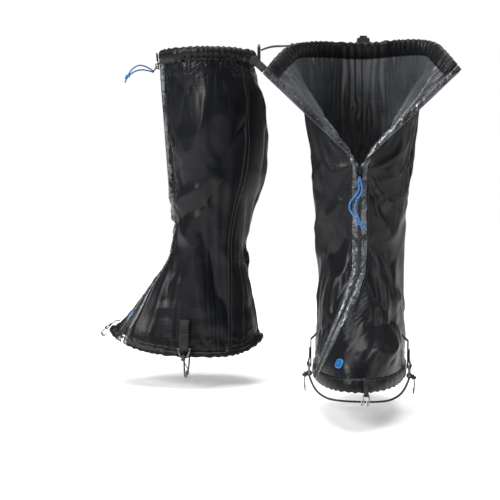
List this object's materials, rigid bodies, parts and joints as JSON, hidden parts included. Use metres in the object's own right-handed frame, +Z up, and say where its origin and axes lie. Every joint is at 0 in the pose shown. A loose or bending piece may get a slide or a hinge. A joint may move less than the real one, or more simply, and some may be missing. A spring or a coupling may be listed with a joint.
{
  "type": "hiking gaiters",
  "caption": "Knee-high shell gaiters with front zip, top drawcord, lace hooks and instep cords; one closed, the other with its collar open.",
  "frame": {"origin": "on the ground under the axis of the right lower leg", "axes": "+Z up along the legs; the right foot points towards -X and the left foot towards -Y; the left leg stands at +X"},
  "size_m": [0.4374, 0.3586, 0.4433],
  "materials": {
    "shell_cloth": "glossy ripstop",
    "hem_cloth": "glossy ripstop",
    "zip_tape": "coated",
    "zip_coil": "satin",
    "slider_metal": "satin",
    "puller_metal": "satin",
    "pull_cord": "woven",
    "webbing": "woven",
    "hook_patch": "napped",
    "lock_plastic": "satin",
    "button_plastic": "satin",
    "spring_steel": "satin",
    "drawcord": "woven",
    "hook_metal": "satin",
    "ring_metal": "polished",
    "instep_cord": "woven",
    "emblem": "satin"
  },
  "bodies": {
    "right_shell": {"right_bottom_hem": "hem_cloth", "right_closure_patch": "hook_patch", "right_cord_lock_housing": "lock_plastic", "right_cord_lock_spring": "spring_steel", "right_drawcord": "drawcord", "right_drawcord_knot": "drawcord", "right_emblem": "emblem", "right_instep_cord": "instep_cord", "right_instep_knots": "instep_cord", "right_lace_hook_tab": "webbing", "right_lateral_instep_tab": "webbing", "right_lateral_panel": "shell_cloth", "right_medial_instep_tab": "webbing", "right_medial_panel": "shell_cloth", "right_rear_panel": "shell_cloth", "right_top_hem": "hem_cloth", "right_zip_chain": "zip_coil", "right_zip_tapes": "zip_tape"},
    "right_slider": {"right_zip_slider": "slider_metal"},
    "right_puller": {"right_zip_puller": "puller_metal", "right_pull_cord": "pull_cord", "right_pull_knot": "pull_cord"},
    "right_closure": {"right_closure_tab": "webbing"},
    "right_lock_button": {"right_cord_lock_button": "button_plastic"},
    "right_hook": {"right_lace_hook": "hook_metal"},
    "right_inner_ring": {"right_medial_ring": "ring_metal"},
    "right_outer_ring": {"right_lateral_ring": "ring_metal"},
    "left_shell": {"left_bottom_hem": "hem_cloth", "left_cord_lock_housing": "lock_plastic", "left_cord_lock_spring": "spring_steel", "left_drawcord": "drawcord", "left_drawcord_knot": "drawcord", "left_emblem": "emblem", "left_instep_cord": "instep_cord", "left_instep_knots": "instep_cord", "left_lace_hook_tab": "webbing", "left_lateral_instep_tab": "webbing", "left_lateral_panel": "shell_cloth", "left_medial_instep_tab": "webbing", "left_medial_panel": "shell_cloth", "left_rear_panel": "shell_cloth", "left_top_hem": "hem_cloth", "left_zip_chain": "zip_coil", "left_zip_tapes": "zip_tape"},
    "left_slider": {"left_zip_slider": "slider_metal"},
    "left_puller": {"left_zip_puller": "puller_metal", "left_pull_cord": "pull_cord", "left_pull_knot": "pull_cord"},
    "left_closure": {"left_closure_tab": "webbing"},
    "left_lock_button": {"left_cord_lock_button": "button_plastic"},
    "left_hook": {"left_lace_hook": "hook_metal"},
    "left_inner_ring": {"left_medial_ring": "ring_metal"},
    "left_outer_ring": {"left_lateral_ring": "ring_metal"},
    "left_inner_flap": {"left_medial_flap": "shell_cloth", "left_medial_flap_hem": "hem_cloth", "left_medial_flap_zip": "zip_tape"},
    "left_outer_flap": {"left_lateral_flap": "shell_cloth", "left_lateral_flap_hem": "hem_cloth", "left_lateral_flap_zip": "zip_tape", "left_closure_patch": "hook_patch"}
  },
  "joints": [
    {"name": "pair_apart", "type": "slide", "parent": "right_shell", "child": "left_shell", "axis": [1, 0, 0], "range_m": [-0.02, 0.3]},
    {"name": "right_slider_travel", "type": "slide", "parent": "right_shell", "child": "right_slider", "axis": [0.0701, 0, -0.9975], "range_m": [0, 0.13]},
    {"name": "right_puller_flip", "type": "hinge", "parent": "right_slider", "child": "right_puller", "pos_m": [-0.06937, 0, 0.4224], "axis": [0, 1, 0], "range_deg": [-26, 50]},
    {"name": "right_closure_flip", "type": "hinge", "parent": "right_shell", "child": "right_closure", "pos_m": [-0.06764, -0.011, 0.4335], "axis": [-0.0701, 0, 0.9975], "range_deg": [0, 120]},
    {"name": "right_lock_press", "type": "slide", "parent": "right_shell", "child": "right_lock_button", "axis": [0, 0, -1], "range_m": [0, 0.002], "stiffness_N_per_m": 300, "springref_m": -0.002, "deforming": ["right_cord_lock_spring"]},
    {"name": "right_hook_swing", "type": "hinge", "parent": "right_shell", "child": "right_hook", "pos_m": [-0.13948, 0, 0.07353], "axis": [0, 1, 0], "range_deg": [-8, 60]},
    {"name": "right_inner_ring_swing", "type": "hinge", "parent": "right_shell", "child": "right_inner_ring", "pos_m": [-0.03116, -0.05849, 0.054], "axis": [0.9943, -0.1062, 0], "range_deg": [-4, 4]},
    {"name": "right_outer_ring_swing", "type": "hinge", "parent": "right_shell", "child": "right_outer_ring", "pos_m": [-0.03116, 0.05849, 0.054], "axis": [-0.9943, -0.1062, 0], "range_deg": [-4, 4]},
    {"name": "left_slider_travel", "type": "slide", "parent": "left_shell", "child": "left_slider", "axis": [0.0064, 0.0453, -0.999], "range_m": [0, 0.04]},
    {"name": "left_puller_flip", "type": "hinge", "parent": "left_slider", "child": "left_puller", "pos_m": [0.17719, -0.20269, 0.28087], "axis": [-0.9903, 0.1392, 0], "range_deg": [-4, 80]},
    {"name": "left_closure_flip", "type": "hinge", "parent": "left_inner_flap", "child": "left_closure", "pos_m": [0.07087, -0.17097, 0.39593], "axis": [0.6524, 0.5058, 0.5644], "range_deg": [-45, 18]},
    {"name": "left_lock_press", "type": "slide", "parent": "left_shell", "child": "left_lock_button", "axis": [0, 0, -1], "range_m": [0, 0.002], "stiffness_N_per_m": 300, "springref_m": -0.002, "deforming": ["left_cord_lock_spring"]},
    {"name": "left_hook_swing", "type": "hinge", "parent": "left_shell", "child": "left_hook", "pos_m": [0.17609, -0.28806, 0.04417], "axis": [-0.9619, -0.2503, 0.1096], "range_deg": [-8, 60]},
    {"name": "left_inner_ring_swing", "type": "hinge", "parent": "left_shell", "child": "left_inner_ring", "pos_m": [0.12374, -0.16272, 0.054], "axis": [-0.0332, -0.9994, 0], "range_deg": [-4, 4]},
    {"name": "left_outer_ring_swing", "type": "hinge", "parent": "left_shell", "child": "left_outer_ring", "pos_m": [0.23958, -0.179, 0.054], "axis": [0.2436, 0.9699, 0], "range_deg": [-4, 4]},
    {"name": "left_inner_flap_fold", "type": "hinge", "parent": "left_shell", "child": "left_inner_flap", "pos_m": [0.17808, -0.19634, 0.285], "axis": [-0.484, 0.2879, 0.8263], "range_deg": [-20, 30]},
    {"name": "left_outer_flap_fold", "type": "hinge", "parent": "left_shell", "child": "left_outer_flap", "pos_m": [0.17808, -0.19634, 0.285], "axis": [-0.5446, -0.1434, -0.8263], "range_deg": [-20, 30]}
  ]
}
